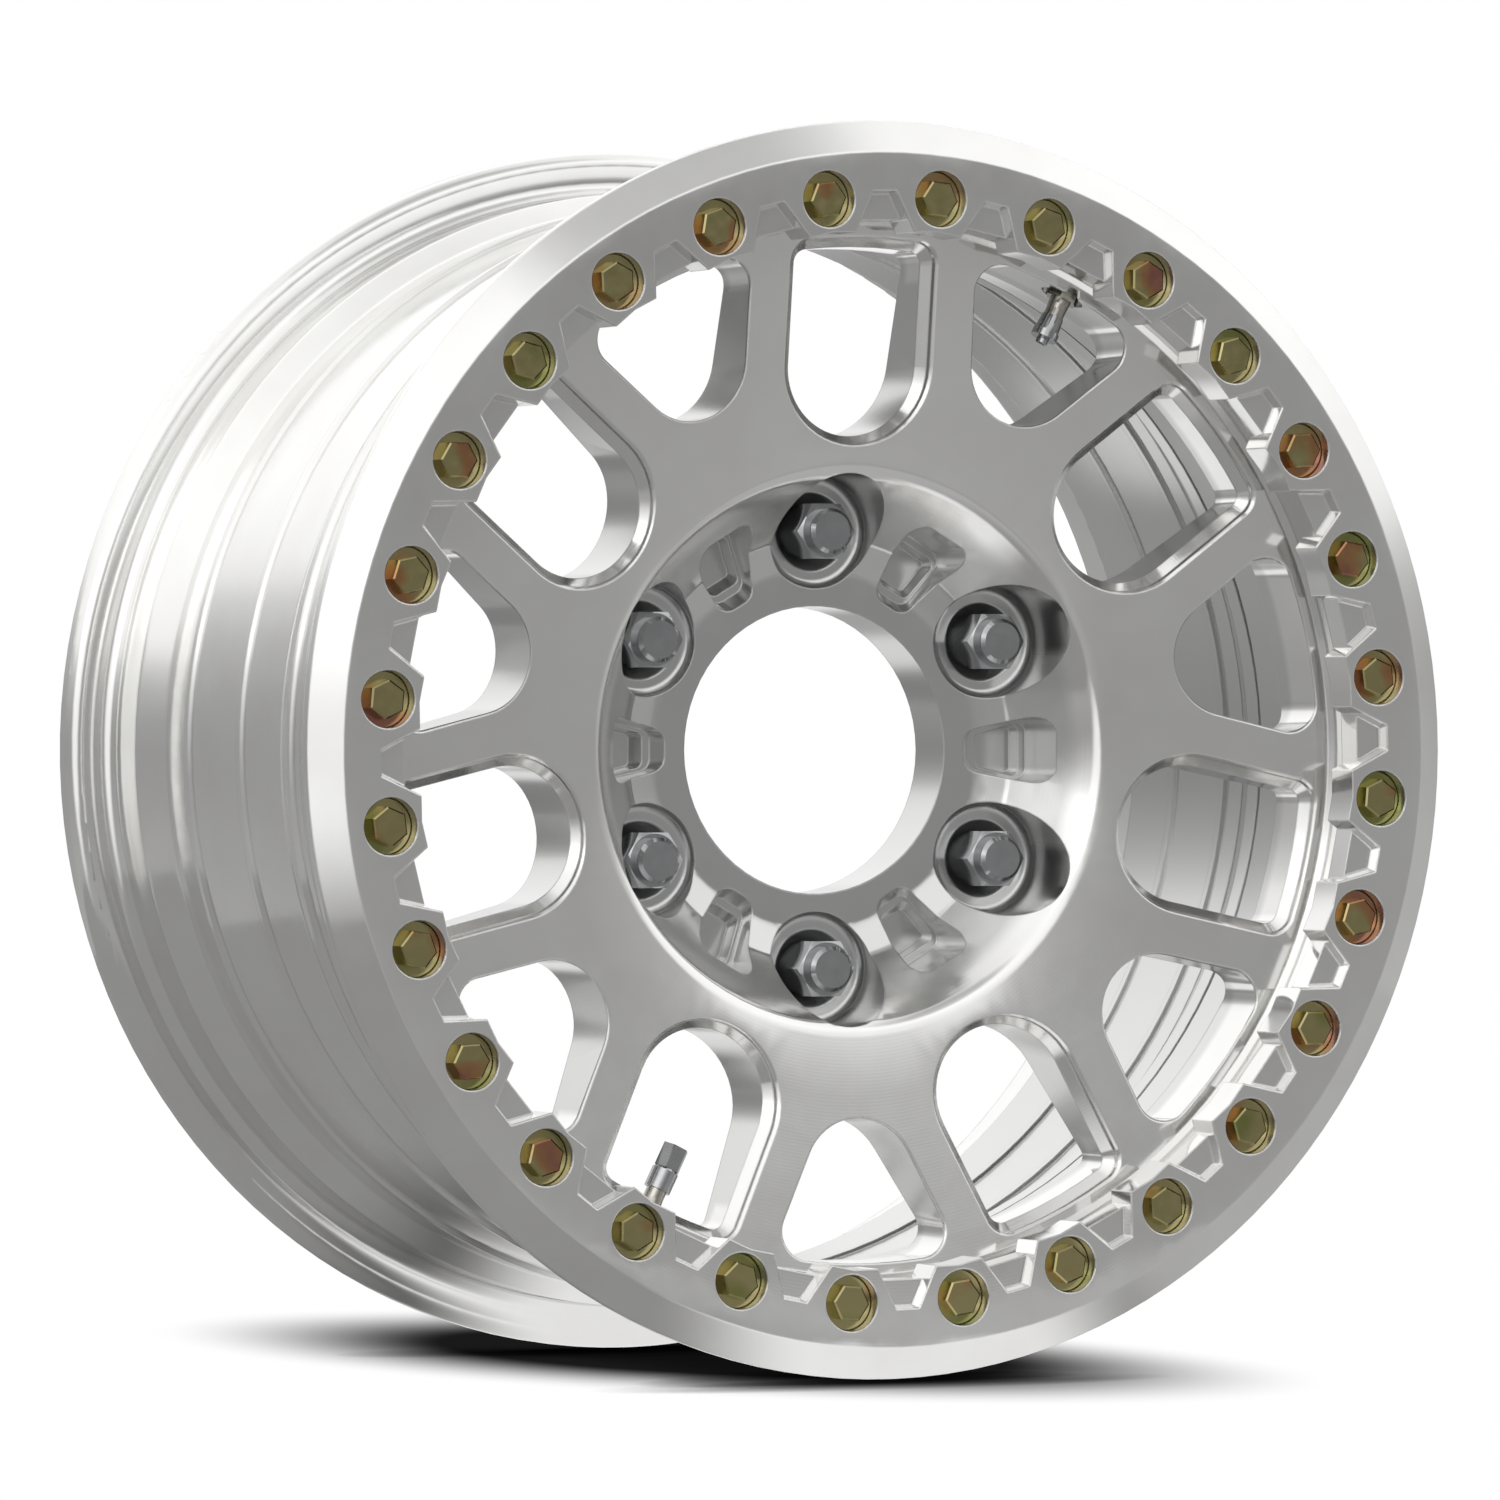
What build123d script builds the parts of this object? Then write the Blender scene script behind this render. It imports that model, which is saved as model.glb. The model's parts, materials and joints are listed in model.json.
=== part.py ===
from build123d import *

import math
import os

# A beadlock wheel: a forged one-piece wheel, its bolted clamp ring, two valves and its lug nuts.
#
# The wheel's axis is Y. The outer face looks along -Y, the hub's mounting pad lies in the plane
# y = 0 and the origin is the centre of that pad. Every size is in millimetres. A place on the
# wheel is given by its radius, its y and its angle, counted from +X towards +Z.

# Rim sizes
inch = 25.4
bead_seat_radius = 17 * inch / 2 + 2.4
rim_width = 9 * inch
wheel_offset = 31.0
flange_height = 17.3
flange_rounding = 6.0
barrel_radius = 211.0
barrel_wall = 5.2
rear_lip = 11.7
bead_seat_drop = 1.6
bead_hump = 1.4
hump_width = 3.0
rear_slope_start = 36.5
rear_slope_end = 25.5
flare_depth = 14.0
flare_height = 5.5
front_slope_width = 19.0
front_shelf_radius = 215.5
front_shelf_width = 6.2
shoulder_height = 1.8
shoulder_slope_width = 21.0
front_rib_place = 102.5
outer_rib_place = 154.8
inner_rib_place = 145.3
rib_height = 1.3
rib_width = 6.0
relief_groove_place = 31.0
relief_groove_width = 3.4
relief_groove_depth = 2.2
thick_wall_inside = 195.2
thick_wall_end = 41.0
inner_slope_width = 24.0
fine_corner = 3.0

# Clamp ring and its seat on the wheel
ring_lip_thickness = 11.7
ring_thickness = 16.5
ring_undercut = 1.3
ring_bevel_start = 222.5
ring_bevel_depth = 7.6
ring_tab_flat = 192.4
ring_gap_flat = 197.0
clamped_bead = 13.5
bead_stop_height = 4.2
bead_stop_width = 14.8

# Ring bolts
bolt_count = 28
bolt_circle = 206.0
bolt_turn = 1.31
bolt_radius = 7.94 / 2
bolt_hex_flats = 12.7
bolt_head_height = 5.4
bolt_head_chamfer = 0.6
bolt_length_below_head = 21.5
washer_thickness = 1.5
recess_radius = 10.4
recess_depth = 7.0
recess_edge = 0.5

# Scallops between the ring's tabs
scallop_depth = 4.5
scallop_outer_flat = 207.7
scallop_outer_half = 4.6
scallop_mouth_half = 11.9
scallop_draft = 0.9
scallop_edge = 0.5

# Spoke disc
hub_radius = 106.4
face_at_hub = -57.6
face_slope = 0.1275
disc_back_at_hub = -18.2
disc_back_slope = 0.345
cavity_radius = 198.2
window_count = 7
window_outer = 192.0
round_window_half = 29.8
round_window_centre = 144.0
round_window_corner = 8.5
window_step = 3.6
window_step_depth = 2.8
arrow_window_tip = 138.0
arrow_window_tip_radius = 22.5
arrow_window_flare = 26.1
arrow_window_corner = 10.5
window_edge = 0.7

# Hub, lug holes and the pockets between them
bore_radius = 54.4
hub_face = -24.3
hub_face_radius = 68.0
dish_foot_radius = 80.0
dish_foot_rise = 5.0
dish_lip = -55.5
dish_lip_radius = 103.0
pad_radius = 103.0
lug_count = 6
lug_circle = 165.1 / 2
lug_counterbore = 21.4
lug_counterbore_depth = 3.4
lug_counterbore_fillet = 3.5
lug_seat_radius = 14.6
lug_seat_edge = 0.7
lug_hole_radius = 8.0
lug_seat_half_angle = 30.0
pocket_inner = 62.5
pocket_outer = 92.5
pocket_inner_half = 7.2
pocket_flare = 0.224
pocket_depth = 5.0
pocket_slope_run = 4.0
pocket_ledge = 3.2
pocket_side_ledge = 2.6
pocket_step_depth = 5.6
pocket_draft = 0.9
pocket_corner = 6.0

# Lug nuts
nut_neck_radius = 10.2
nut_neck_height = 11.0
nut_hex_flats = 20.8
nut_hex_height = 10.9
nut_cap_radius = 8.6
nut_cap_height = 5.0
nut_cap_edge = 1.4
nut_cone_foot = 8.3
nut_thread_radius = 6.9
nut_thread_depth = 27.0

# Valves
valve_angle = 63.25
valve_inset = 22.8
valve_hole_radius = 4.15
valve_stem_radius = 4.1
valve_spot_radius = 8.4
valve_inner_spot = 195.6
valve_outer_spot = 205.2
valve_outer_pocket_radius = 7.5
valve_seal_radius = 7.0
valve_seal_thickness = 2.2
valve_head_radius = 6.6
valve_head_height = 3.2
valve_washer_radius = 6.5
valve_washer_thickness = 0.9
valve_nut_flats = 11.0
valve_nut_height = 4.2
valve_thread_radius = 3.85
valve_bore_radius = 1.9
core_radius = 1.8
core_length = 12.0
core_bore_radius = 1.05
core_pin_radius = 0.6
core_pin_travel = 1.0
short_valve_tip = 176.6
long_valve_tip = 167.4
cap_roof = 1.3
short_cap_length = 6.9
long_cap_length = 17.5

# Fits
bolt_fit = 0.05
ring_fit = 0.15
washer_fit = 0.3
thread_fit = 0.06
gasket_thickness = 0.8

# Planes along the axis, worked out from the sizes above
front_bead = wheel_offset - rim_width / 2
rear_bead = wheel_offset + rim_width / 2
ring_face = front_bead - ring_lip_thickness
ring_seat = ring_face + ring_thickness
bead_stop = front_bead + clamped_bead
rear_edge = rear_bead + rear_lip
flange_radius = bead_seat_radius + flange_height
ring_radius = flange_radius - ring_undercut
inner_radius = barrel_radius - barrel_wall
bolt_pitch = 360.0 / bolt_count
valve_y = front_bead + valve_inset


def turned(shape, angle):
    """Turns a shape made along +X to its angle round the wheel."""
    return Rot(0, -angle, 0) * shape


def around(shape, count, start):
    """Copies of a shape made along +X, evenly round the wheel."""
    return [turned(shape, start + 360.0 * index / count) for index in range(count)]


def face_plane(y):
    """A sketch plane across the axis whose first axis is X, second is Z, and which looks forward."""
    return Plane(origin=(0, y, 0), x_dir=(1, 0, 0), z_dir=(0, -1, 0))


def cut_depth(outline, y_from, y_to):
    """A straight cutter through an outline drawn on a face plane, from one y to a deeper one."""
    return extrude(face_plane(y_from) * outline, amount=y_to - y_from, dir=(0, 1, 0))


def bevelled(points):
    """The corners with every fine one cut off flat, so that only the large ones are left to round."""
    result = []
    for index, (radius, y, size) in enumerate(points):
        if size == 0 or size >= fine_corner:
            result.append((radius, y, size))
            continue
        corner = Vector(radius, y)
        for near_radius, near_y, _ in (points[index - 1], points[(index + 1) % len(points)]):
            cut = corner + (Vector(near_radius, near_y) - corner).normalized() * size
            result.append((cut.X, cut.Y, 0))
    return result


def lathe(points):
    """A solid turned about the axis from corners of (radius, y, size of its bevel or fillet)."""
    corners = bevelled(points)
    line = FilletPolyline(
        *[(radius, y) for radius, y, _ in corners],
        radius=[size for _, _, size in corners],
        close=True,
    )
    return revolve(make_face(line), axis=Axis.Y)


def disc_at(radius, y_from, y_to, x=0.0):
    """A round bar along the axis between two planes, with its centre at (x, 0)."""
    return Pos(x, 0, 0) * cut_depth(Circle(radius), y_from, y_to)


def face_y(radius):
    """The y of the disc's front cone."""
    return face_at_hub - (radius - hub_radius) * face_slope


def back_y(radius):
    """The y of the disc's rear cone."""
    return disc_back_at_hub - (radius - hub_radius) * disc_back_slope


def rib(radius, y, side):
    """A low turned ridge on the barrel, side 1 outside or -1 inside, its foot sunk into the wall."""
    foot = radius - side * barrel_wall / 10
    crest = radius + side * rib_height
    half = rib_width / 2
    return lathe(
        [
            (foot, y - half, 0),
            (radius, y - half, 0),
            (crest, y - half + rib_height, 0),
            (crest, y + half - rib_height, 0),
            (radius, y + half, 0),
            (foot, y + half, 0),
        ]
    )


def wheel_blank():
    """The turned body of the wheel: barrel, rear flange, clamp seat, disc and hub."""
    seat_radius = bead_seat_radius - ring_fit
    stop_radius = bead_seat_radius + bead_stop_height
    stop_back = bead_stop + bead_stop_width
    slope_foot = rear_bead - rear_slope_start
    slope_top = rear_bead - rear_slope_end
    low_seat = bead_seat_radius - bead_seat_drop
    shelf_start = stop_back + front_slope_width
    shoulder = shelf_start + front_shelf_width
    disc_back = back_y(window_outer)
    groove = disc_back + relief_groove_place
    groove_front = groove - relief_groove_width / 2
    groove_back = groove + relief_groove_width / 2
    flare_radius = bead_seat_radius - barrel_wall
    points = [
        (bore_radius, hub_face, 0),
        (hub_face_radius, hub_face, 1.2),
        (dish_foot_radius, hub_face - dish_foot_rise, 5.0),
        (dish_lip_radius, dish_lip, 1.0),
        (hub_radius, face_at_hub, 1.6),
        (cavity_radius, face_y(cavity_radius), 2.0),
        (cavity_radius, ring_seat, 0.5),
        (seat_radius, ring_seat, 0.5),
        (seat_radius, bead_stop, 0),
        (stop_radius, bead_stop, 0.8),
        (stop_radius, stop_back, 1.0),
        (front_shelf_radius, shelf_start, 4.0),
        (front_shelf_radius, shoulder, 0),
        (front_shelf_radius + shoulder_height, shoulder + shoulder_height, 0.8),
        (barrel_radius, shoulder + shoulder_height + shoulder_slope_width, 12.0),
        (barrel_radius, slope_foot, 5.0),
        (low_seat + bead_hump, slope_top, 1.0),
        (low_seat + bead_hump, slope_top + hump_width, 0),
        (low_seat, slope_top + hump_width + bead_hump, 0),
        (bead_seat_radius, rear_bead, 5.8),
        (bead_seat_radius + flange_height - 2 * flange_rounding + 3.1, rear_bead, 0),
        (bead_seat_radius + flange_height - flange_rounding, rear_bead + 0.9, 0),
        (flange_radius, rear_bead + 0.9, flange_rounding - 0.3),
        (flange_radius, rear_edge, 0.9),
        (bead_seat_radius + flare_height, rear_edge, 1.6),
        (flare_radius, rear_edge - flare_depth, 8.0),
        (flare_radius, slope_top + hump_width, 4.0),
        (inner_radius, slope_foot + hump_width, 5.0),
        (inner_radius, disc_back + thick_wall_end + inner_slope_width, 8.0),
        (thick_wall_inside, disc_back + thick_wall_end, 4.0),
        (thick_wall_inside, groove_back, 0),
        (thick_wall_inside + relief_groove_depth, groove_back, 0),
        (thick_wall_inside + relief_groove_depth, groove_front, 0),
        (thick_wall_inside - 0.7, groove_front, 0),
        (window_outer, disc_back, 8.0),
        (pad_radius + 4.0, back_y(pad_radius + 4.0), 5.0),
        (pad_radius, 0, 0.8),
        (bore_radius, 0, 0),
    ]
    blank = lathe(points)
    outer_ribs = [rib(barrel_radius, bead_stop + place, 1) for place in (front_rib_place, outer_rib_place)]
    inner_ribs = [rib(inner_radius, bead_stop + place, -1) for place in (front_rib_place, inner_rib_place)]
    return blank + outer_ribs + inner_ribs


def round_window(inset):
    """Outline of a round-ended window along +X, drawn in by an inset."""
    half = round_window_half - inset
    body = Pos(round_window_centre + 30.0, 0) * Rectangle(60.0, 2 * half)
    outline = body + Pos(round_window_centre, 0) * Circle(half)
    outline &= Circle(window_outer - inset)
    corners = outline.vertices().filter_by(lambda v: v.X > round_window_centre + 30.0)
    return fillet(corners, round_window_corner - inset)


def arrow_window(inset):
    """Outline of a three-cornered window along +X, with its round tip towards the hub."""
    flare = math.radians(arrow_window_flare)
    tip_centre = arrow_window_tip + arrow_window_tip_radius
    apex = tip_centre - (arrow_window_tip_radius - inset) / math.sin(flare)
    reach = window_outer + 10.0
    spread = (reach - apex) * math.tan(flare)
    outline = make_face(Polyline((apex, 0), (reach, spread), (reach, -spread), close=True))
    outline &= Circle(window_outer - inset)
    tip = outline.vertices().sort_by(Axis.X)[:1]
    outline = fillet(tip, arrow_window_tip_radius - inset)
    corners = outline.vertices().sort_by(Axis.X)[-2:]
    return fillet(corners, arrow_window_corner - inset)


def cone_plane(depth):
    """A sketch plane along the disc's front cone at +X, sunk into the wheel by a depth."""
    middle = (round_window_centre + window_outer) / 2
    tilt = math.atan(face_slope)
    plane = Plane(
        origin=(middle, face_y(middle) + depth, 0),
        x_dir=(math.cos(tilt), -math.sin(tilt), 0),
        z_dir=(-math.sin(tilt), -math.cos(tilt), 0),
    )
    return plane * Pos(-middle, 0)


def lip_cutter(window, depth, inset):
    """A bevel at 45 degrees round a window: it opens forward from an inset at a depth in the cone."""
    reach = window_step
    wide = cone_plane(depth - reach) * window(inset - reach)
    narrow = cone_plane(depth + window_edge) * window(inset + window_edge)
    return loft([wide, narrow])


def window_cutters():
    """The seven stepped round-ended windows and the seven plain three-cornered ones."""
    step_top = cone_plane(window_step_depth)
    clear = window_step_depth + 2 * window_step
    stepped = extrude(step_top * round_window(0.0), amount=clear, dir=(0, -1, 0))
    bevel_foot = cone_plane(window_step_depth + window_step + window_edge)
    bevel = [step_top * round_window(0.0), bevel_foot * round_window(window_step + window_edge)]
    stepped += loft(bevel)
    stepped += cut_depth(round_window(window_step), face_y(window_outer), 0.0)
    stepped += lip_cutter(round_window, window_edge, 0.0)
    plain = cut_depth(arrow_window(0.0), face_y(window_outer) - window_step, 0.0)
    plain += lip_cutter(arrow_window, window_edge, 0.0)
    return around(stepped, window_count, 90.0) + around(plain, window_count, 90.0 + 180.0 / window_count)


def lug_cutter():
    """One lug hole along +X: filleted counterbore into the dish, conical seat and clear hole."""
    front = face_at_hub - lug_hole_radius
    floor = hub_face + lug_counterbore_depth
    cone_depth = (lug_seat_radius - lug_hole_radius) / math.tan(math.radians(lug_seat_half_angle))
    cutter = lathe(
        [
            (0, front, 0),
            (lug_counterbore, front, 0),
            (lug_counterbore, floor, lug_counterbore_fillet),
            (lug_seat_radius, floor, lug_seat_edge),
            (lug_hole_radius, floor + cone_depth, 0),
            (lug_hole_radius, lug_hole_radius, 0),
            (0, lug_hole_radius, 0),
        ]
    )
    return Pos(lug_circle, 0, 0) * cutter


def pocket_outline(inner, outer, inset, corner):
    """Outline of a pocket level along +X, flared outwards, drawn in at its sides by an inset."""
    half_inner = pocket_inner_half + (inner - pocket_inner) * pocket_flare - inset
    half_outer = pocket_inner_half + (outer - pocket_inner) * pocket_flare - inset
    corners = ((inner, half_inner), (outer, half_outer), (outer, -half_outer), (inner, -half_inner))
    outline = make_face(Polyline(*corners, close=True))
    return fillet(outline.vertices(), corner)


def pocket_level(y_top, y_floor, inner, outer, inset, corner, run):
    """One level of a pocket, its inner end sloped by a run and its other walls drafted."""
    top = face_plane(y_top) * pocket_outline(inner, outer, inset, corner)
    floor_outline = pocket_outline(inner + run, outer - pocket_draft, inset + pocket_draft, corner - pocket_draft)
    return loft([top, face_plane(y_floor) * floor_outline])


def pocket_cutter():
    """A two-level pocket that lightens the hub between two lug holes."""
    ledge = hub_face + pocket_depth
    mouth = cut_depth(pocket_outline(pocket_inner, pocket_outer, 0.0, pocket_corner), face_at_hub, hub_face)
    upper = pocket_level(hub_face, ledge, pocket_inner, pocket_outer, 0.0, pocket_corner, pocket_slope_run)
    step_inner = pocket_inner + pocket_slope_run + pocket_ledge
    step_outer = pocket_outer - pocket_draft - pocket_ledge
    lower = pocket_level(
        ledge, ledge + pocket_step_depth, step_inner, step_outer, pocket_side_ledge, pocket_corner / 2,
        pocket_slope_run * 0.75,
    )
    return mouth + upper + lower


def valve_cutter():
    """A valve hole along +X with a round flat for the nut inside and a pocket for the head outside."""
    hole = Rot(0, 90, 0) * Cylinder(valve_hole_radius, 80.0)
    inside = Rot(0, 90, 0) * Cylinder(valve_spot_radius, 12.0)
    outside = Rot(0, 90, 0) * Cylinder(valve_outer_pocket_radius, 40.0)
    cutter = Pos(valve_inner_spot, 0, 0) * hole
    cutter += Pos(valve_inner_spot - 6.0, 0, 0) * inside
    cutter += Pos(valve_outer_spot + 20.0, 0, 0) * outside
    return Pos(0, valve_y, 0) * cutter


def wheel_body():
    """The whole wheel in one piece."""
    tapped = disc_at(bolt_radius + bolt_fit, ring_seat, ring_seat + bolt_length_below_head, bolt_circle)
    cutters = window_cutters()
    cutters += around(lug_cutter(), lug_count, 90.0)
    cutters += around(pocket_cutter(), lug_count, 0.0)
    cutters += around(tapped, bolt_count, 90.0 + bolt_turn + bolt_pitch / 2)
    cutters += [turned(valve_cutter(), angle) for angle in (valve_angle, valve_angle + 180.0)]
    return wheel_blank() - cutters


def scallop_outline(inset, outer_flat):
    """Outline of the gap between two tabs, along +X, open towards the axis."""
    run = scallop_outer_flat - ring_tab_flat
    slope = (scallop_mouth_half - scallop_outer_half) / run
    mouth = ring_tab_flat - 6.0
    half_outer = scallop_outer_half + slope * (scallop_outer_flat - outer_flat)
    half_mouth = scallop_mouth_half + slope * 6.0
    return make_face(
        Polyline(
            (mouth, half_mouth - inset),
            (outer_flat - inset, half_outer - inset),
            (outer_flat - inset, inset - half_outer),
            (mouth, inset - half_mouth),
            close=True,
        )
    )


def scallop_cutter():
    """One scallop: a drafted recess in the face, and the gap that goes right through inside it."""
    top = face_plane(ring_face) * scallop_outline(-scallop_edge, scallop_outer_flat)
    rim = face_plane(ring_face + scallop_edge) * scallop_outline(0.0, scallop_outer_flat)
    floor = face_plane(ring_face + scallop_depth) * scallop_outline(scallop_draft, scallop_outer_flat)
    recess = loft([top, rim]) + loft([rim, floor])
    through = scallop_outline(0.0, ring_gap_flat)
    return recess + cut_depth(through, ring_face - 1.0, ring_seat + 1.0)


def bolt_recess():
    """One bolt's round recess in the ring's face, with its small lead-in, and the hole below."""
    line = Polyline(
        (0, ring_face - recess_edge),
        (recess_radius + 2 * recess_edge, ring_face - recess_edge),
        (recess_radius, ring_face + recess_edge),
        (recess_radius, ring_face + recess_depth),
        (bolt_radius + bolt_fit, ring_face + recess_depth),
        (bolt_radius + bolt_fit, ring_seat + recess_edge),
        (0, ring_seat + recess_edge),
        close=True,
    )
    return Pos(bolt_circle, 0, 0) * revolve(make_face(line), axis=Axis.Y)


def beadlock_ring():
    """The clamp ring: a bevelled lip outside, and tabs and scallops round its bore."""
    ring = lathe(
        [
            (ring_tab_flat - 1.0, ring_face, 0),
            (ring_bevel_start, ring_face, 0.5),
            (ring_radius, ring_face + ring_bevel_depth, 0.6),
            (ring_radius, front_bead, 0.6),
            (bead_seat_radius - ring_fit, front_bead, 0),
            (bead_seat_radius - ring_fit, ring_seat, 0.5),
            (ring_tab_flat - 1.0, ring_seat, 0),
        ]
    )
    flats = RegularPolygon(ring_tab_flat, bolt_count, major_radius=False, rotation=bolt_pitch / 2)
    bore = Rot(0, -bolt_turn, 0) * cut_depth(flats, ring_face - 1.0, ring_seat + 1.0)
    ring -= bore
    first_bolt = 90.0 + bolt_turn + bolt_pitch / 2
    ring -= around(scallop_cutter(), bolt_count, 90.0 + bolt_turn)
    return ring - around(bolt_recess(), bolt_count, first_bolt)


def ring_washer():
    """A flat washer on the floor of a bolt's recess."""
    floor = ring_face + recess_depth
    washer = disc_at(recess_radius - washer_fit, floor - washer_thickness, floor, bolt_circle)
    return washer - disc_at(bolt_radius + bolt_fit, ring_face, floor + 1.0, bolt_circle)


def ring_bolt():
    """A hexagon bolt with a chamfered head, its head resting on the washer."""
    under_head = ring_face + recess_depth - washer_thickness
    head = cut_depth(
        RegularPolygon(bolt_hex_flats / 2, 6, major_radius=False), under_head - bolt_head_height, under_head
    )
    head = chamfer(head.faces().sort_by(Axis.Y)[0].edges(), bolt_head_chamfer)
    shank = disc_at(bolt_radius, under_head - 1.0, under_head + bolt_length_below_head)
    return Pos(bolt_circle, 0, 0) * (head + shank)


def lug_nut():
    """A closed lug nut: domed cap, hexagon, round neck and conical seat, with a blind thread."""
    floor = hub_face + lug_counterbore_depth
    slope = math.tan(math.radians(lug_seat_half_angle))
    seat = floor + (lug_seat_radius - nut_neck_radius) / slope
    foot = seat + (nut_neck_radius - nut_cone_foot) / slope
    hex_back = seat - nut_neck_height
    hex_front = hex_back - nut_hex_height
    cap_front = hex_front - nut_cap_height
    turned_part = lathe(
        [
            (0, cap_front, 0),
            (nut_cap_radius, cap_front, nut_cap_edge),
            (nut_cap_radius, hex_back, 0),
            (nut_neck_radius, hex_back, 0),
            (nut_neck_radius, seat - thread_fit, 0),
            (nut_cone_foot, foot - thread_fit, 0),
            (0, foot - thread_fit, 0),
        ]
    )
    outline = RegularPolygon(nut_hex_flats / 2, 6, major_radius=False, rotation=30)
    hexagon = cut_depth(outline, hex_front, hex_back)
    corner = nut_hex_flats / 2 / math.cos(math.radians(30))
    crown = lathe(
        [
            (0, hex_front, 0),
            (nut_hex_flats / 2 - 0.4, hex_front, 0),
            (corner + 0.2, hex_front + 1.2, 0),
            (corner + 0.2, hex_back, 0),
            (0, hex_back, 0),
        ]
    )
    thread = disc_at(nut_thread_radius, foot - nut_thread_depth, foot + 1.0)
    return Pos(lug_circle, 0, 0) * (turned_part + (hexagon & crown) - thread)


def valve_lathe(points):
    """A solid turned about a valve's axis from corners of (distance from the wheel's axis, radius)."""
    line = Polyline(*points, close=True)
    return Pos(0, valve_y, 0) * revolve(make_face(line), axis=Axis.X)


def valve_tube(start, end, outer, inner=0.0):
    """A round tube or bar along a valve's axis."""
    return valve_lathe([(start, inner), (end, inner), (end, outer), (start, outer)])


def valve_hexagon(start, end, flats, inner):
    """A hexagon with a bore along a valve's axis."""
    outline = RegularPolygon(flats / 2, 6, major_radius=False) - Circle(inner)
    plane = Plane(origin=(start, valve_y, 0), x_dir=(0, 0, 1), z_dir=(1, 0, 0))
    return extrude(plane * outline, amount=end - start)


def valve_pieces(tip, cap_length, long_cap):
    """Every piece of one clamp-in valve along +X, by name. The tip is its inner end."""
    seal_end = valve_outer_spot + valve_seal_thickness
    head_end = seal_end + valve_head_height
    washer_front = valve_inner_spot - valve_washer_thickness
    nut_front = washer_front - valve_nut_height
    core_end = tip + core_length
    neck_end = nut_front - 1.5
    stem = valve_lathe(
        [
            (tip, valve_bore_radius),
            (tip, valve_thread_radius - 0.4),
            (tip + 0.8, valve_thread_radius),
            (neck_end - 3.0, valve_thread_radius),
            (neck_end, valve_stem_radius),
            (seal_end, valve_stem_radius),
            (seal_end, valve_head_radius),
            (head_end - 1.0, valve_head_radius),
            (head_end, valve_head_radius - 1.4),
            (head_end, valve_bore_radius),
        ]
    )
    shelf = valve_tube(core_end, core_end + 1.2, valve_bore_radius + 0.2, core_bore_radius + 0.35)
    pieces = {
        "stem": stem + shelf,
        "seal": valve_tube(
            valve_outer_spot, seal_end, valve_seal_radius, valve_stem_radius + thread_fit
        ),
        "washer": valve_tube(
            washer_front, valve_inner_spot, valve_washer_radius, valve_stem_radius + thread_fit
        ),
        "nut": valve_hexagon(nut_front, washer_front, valve_nut_flats, valve_stem_radius + thread_fit),
    }
    pieces.update(core_pieces(tip))
    pieces.update(cap_pieces(tip, cap_length, long_cap))
    return pieces


def core_pieces(tip):
    """The valve core: its threaded body, the sprung pin through it and the spring."""
    body_start = tip + 1.6
    body_end = tip + core_length
    pin_start = tip + 0.5
    body = valve_tube(body_start, body_start + 5.0, core_radius, core_bore_radius)
    cup_wall = core_radius - 0.35
    body += valve_tube(body_start + 5.0, body_end, core_radius, cup_wall)
    body += valve_tube(body_end - 0.8, body_end, core_radius, core_bore_radius)
    disc_start = body_end + 0.02
    pin = valve_tube(pin_start, disc_start + 0.6, core_pin_radius)
    pin += valve_tube(pin_start, pin_start + 0.6, core_bore_radius - 0.1)
    pin += valve_tube(disc_start, disc_start + 0.9, core_bore_radius + 0.25)
    collar = body_start + 5.0 + 0.1
    spring_end = body_end - 0.8
    pin += valve_tube(collar, collar + 0.5, cup_wall - 0.1)
    spring = valve_tube(collar + 0.5, spring_end, cup_wall - 0.08, core_pin_radius + 0.15)
    return {"core_body": body, "core_pin": pin, "core_spring": spring}


def cap_pieces(tip, cap_length, long_cap):
    """The valve's cap and the gasket inside its roof."""
    inner = valve_thread_radius + thread_fit
    roof_inside = tip - gasket_thickness - 0.05
    top = roof_inside - cap_roof
    gasket = valve_tube(roof_inside, roof_inside + gasket_thickness, inner - 0.1, 2.3)
    if long_cap:
        skirt = valve_lathe(
            [(top + 9.0, inner), (top + 9.0, 4.5), (top + 9.8, 5.1), (top + cap_length, 5.1),
             (top + cap_length, inner)]
        )
        cap = valve_hexagon(top, top + 9.0, 9.0, 0.5) + skirt + valve_tube(top, top + 9.0, 2.0)
        cap -= valve_tube(roof_inside, top + cap_length, inner)
    else:
        shell = [(top, 0), (top, 5.2), (top + 2.8, 5.2), (top + 2.8, 4.7), (top + 4.0, 4.65)]
        shell += [(top + cap_length + 2.0, 4.3), (top + cap_length + 2.0, 0)]
        cap = valve_lathe(shell) - valve_tube(roof_inside, top + 40.0, inner)
        tool = valve_tube(top - 2.2, top, 2.3)
        slot = Pos(top - 1.6, valve_y, 0) * Box(2.4, 1.3, 6.0)
        cap += tool - slot
    return {"cap": cap, "cap_gasket": gasket}


def build():
    """Every node by name."""
    first_bolt = 90.0 + bolt_turn + bolt_pitch / 2
    nodes = {
        "wheel_body": wheel_body(),
        "beadlock_ring": beadlock_ring(),
        "ring_washers": Compound(around(ring_washer(), bolt_count, first_bolt)),
        "ring_bolts": Compound(around(ring_bolt(), bolt_count, first_bolt)),
        "lug_nuts": Compound(around(lug_nut(), lug_count, 90.0)),
    }
    valves = {
        "upper": (valve_angle, valve_pieces(short_valve_tip, short_cap_length, False)),
        "lower": (valve_angle + 180.0, valve_pieces(long_valve_tip, long_cap_length, True)),
    }
    for name, (angle, pieces) in valves.items():
        for piece, solid in pieces.items():
            nodes[f"{name}_valve_{piece}"] = turned(solid, angle)
    return nodes


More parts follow.
